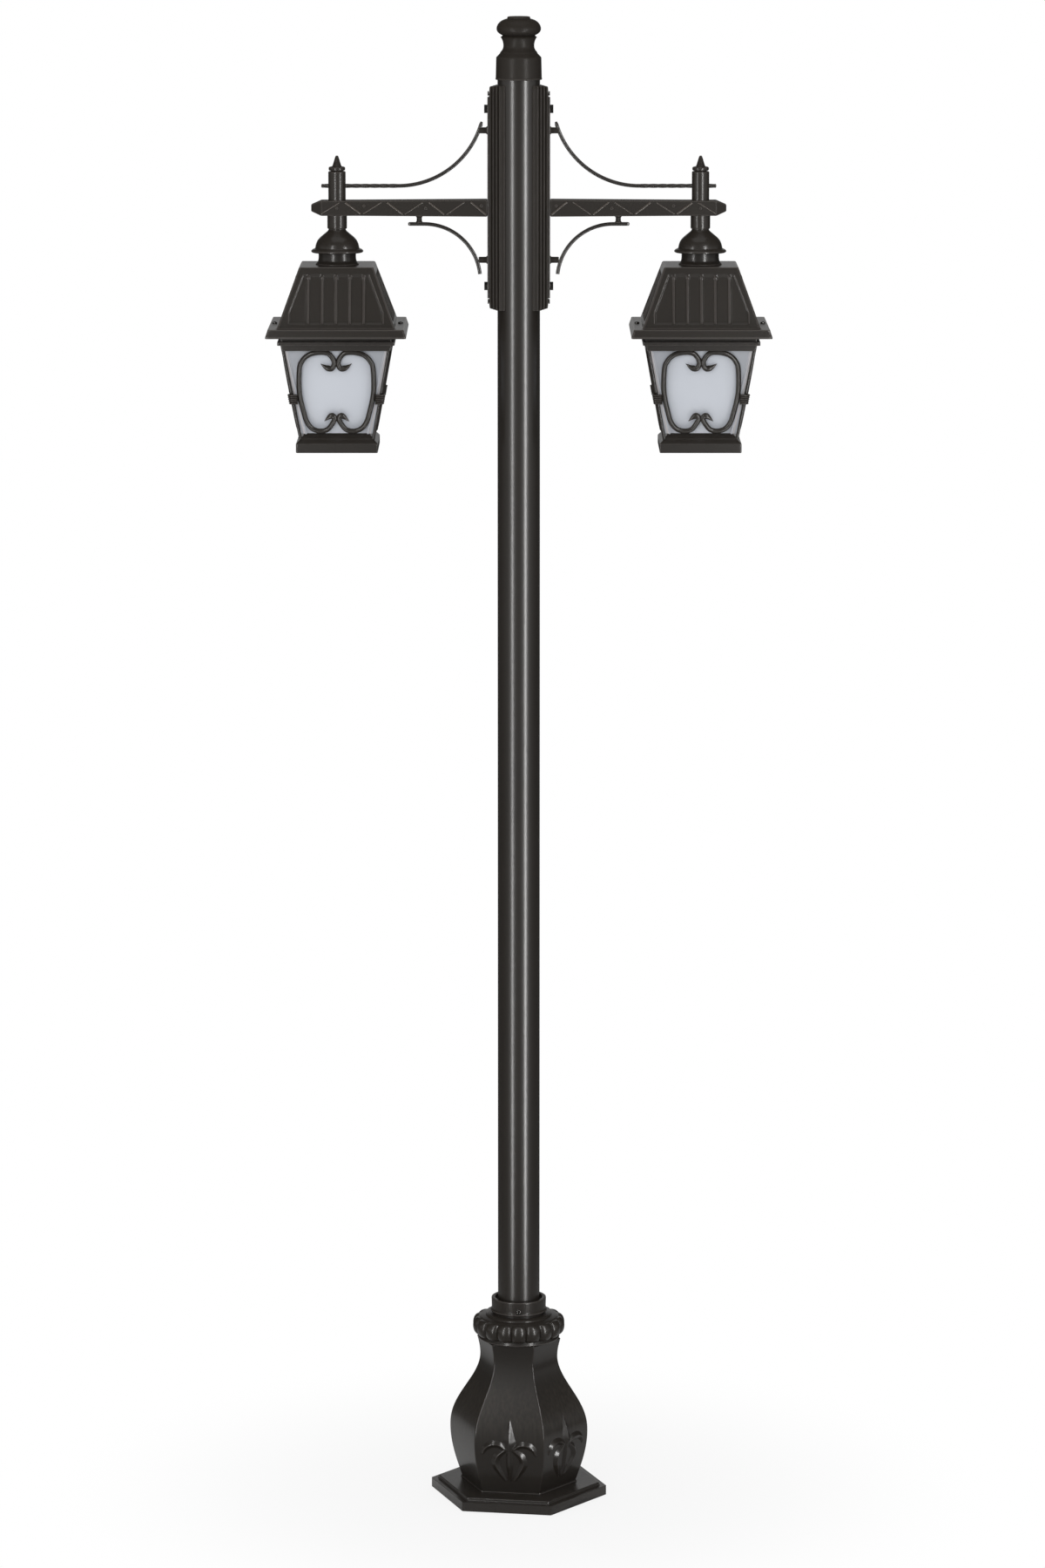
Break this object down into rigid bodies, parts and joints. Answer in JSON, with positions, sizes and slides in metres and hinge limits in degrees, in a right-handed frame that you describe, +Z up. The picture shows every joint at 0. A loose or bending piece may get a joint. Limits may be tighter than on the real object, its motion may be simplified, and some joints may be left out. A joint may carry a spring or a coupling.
{
  "type": "lamp post",
  "caption": "Lamp post with a round pole on a hexagonal baluster foot, side arms with curved stays, and square hanging lanterns with scrollwork over opal glass.",
  "frame": {"origin": "on the ground, on the pole's axis, at the middle of the foot plate's underside", "axes": "+Z up along the pole, +X along the right arm, -Y to the front"},
  "size_m": [0.897, 0.3044, 2.704],
  "materials": {
    "painted_steel": "satin dark bronze powder coat on steel",
    "painted_casting": "satin dark bronze powder coat on cast aluminium",
    "plated_steel": "dull zinc plate",
    "black_screw": "black oxide",
    "seal_rubber": "matt black",
    "holder_ceramic": "glazed off-white",
    "lamp_opal": "opal white diffuser",
    "cable_sheath": "black sheath",
    "terminal_plastic": "black moulded plastic",
    "opal_glass": "frosted opal white glass"
  },
  "bodies": {
    "post": {"foot_plate": "painted_steel", "pole_tube": "painted_steel", "pole_socket": "painted_steel", "access_door": "painted_steel", "door_screws": "plated_steel", "terminal_block": "terminal_plastic", "pole_cap": "painted_casting", "bracket_bolts": "painted_steel", "left_bracket": "painted_casting", "left_back_plate": "painted_casting", "left_arm": "painted_casting", "left_stay": "painted_steel", "left_brace": "painted_steel", "left_stubs": "painted_steel", "left_stem_rod": "plated_steel", "left_hanger_post": "painted_casting", "left_hanger_tube": "painted_casting", "left_finial": "painted_casting", "left_dome": "painted_casting", "left_roof": "painted_casting", "left_roof_nut": "plated_steel", "left_brim_screws": "black_screw", "left_seal": "seal_rubber", "left_lampholder": "holder_ceramic", "left_lamp": "lamp_opal", "left_cable": "cable_sheath", "right_bracket": "painted_casting", "right_back_plate": "painted_casting", "right_arm": "painted_casting", "right_stay": "painted_steel", "right_brace": "painted_steel", "right_stubs": "painted_steel", "right_stem_rod": "plated_steel", "right_hanger_post": "painted_casting", "right_hanger_tube": "painted_casting", "right_finial": "painted_casting", "right_dome": "painted_casting", "right_roof": "painted_casting", "right_roof_nut": "plated_steel", "right_brim_screws": "black_screw", "right_seal": "seal_rubber", "right_lampholder": "holder_ceramic", "right_lamp": "lamp_opal", "right_cable": "cable_sheath"},
    "base_cover": {"base_cover": "painted_casting", "beaded_ring": "painted_casting", "pole_collar": "painted_casting", "collar_screws": "black_screw"},
    "left_cage": {"left_cage": "painted_casting", "left_scrolls": "painted_casting", "left_corner_bands": "painted_casting", "left_panes": "opal_glass", "left_plinth": "painted_casting"},
    "right_cage": {"right_cage": "painted_casting", "right_scrolls": "painted_casting", "right_corner_bands": "painted_casting", "right_panes": "opal_glass", "right_plinth": "painted_casting"}
  },
  "joints": [
    {"name": "base_cover_lift", "type": "slide", "parent": "post", "child": "base_cover", "axis": [0, 0, 1], "range_m": [0, 0.42]},
    {"name": "left_cage_drop", "type": "slide", "parent": "post", "child": "left_cage", "axis": [0, 0, -1], "range_m": [0, 0.22]},
    {"name": "right_cage_drop", "type": "slide", "parent": "post", "child": "right_cage", "axis": [0, 0, -1], "range_m": [0, 0.22]}
  ]
}
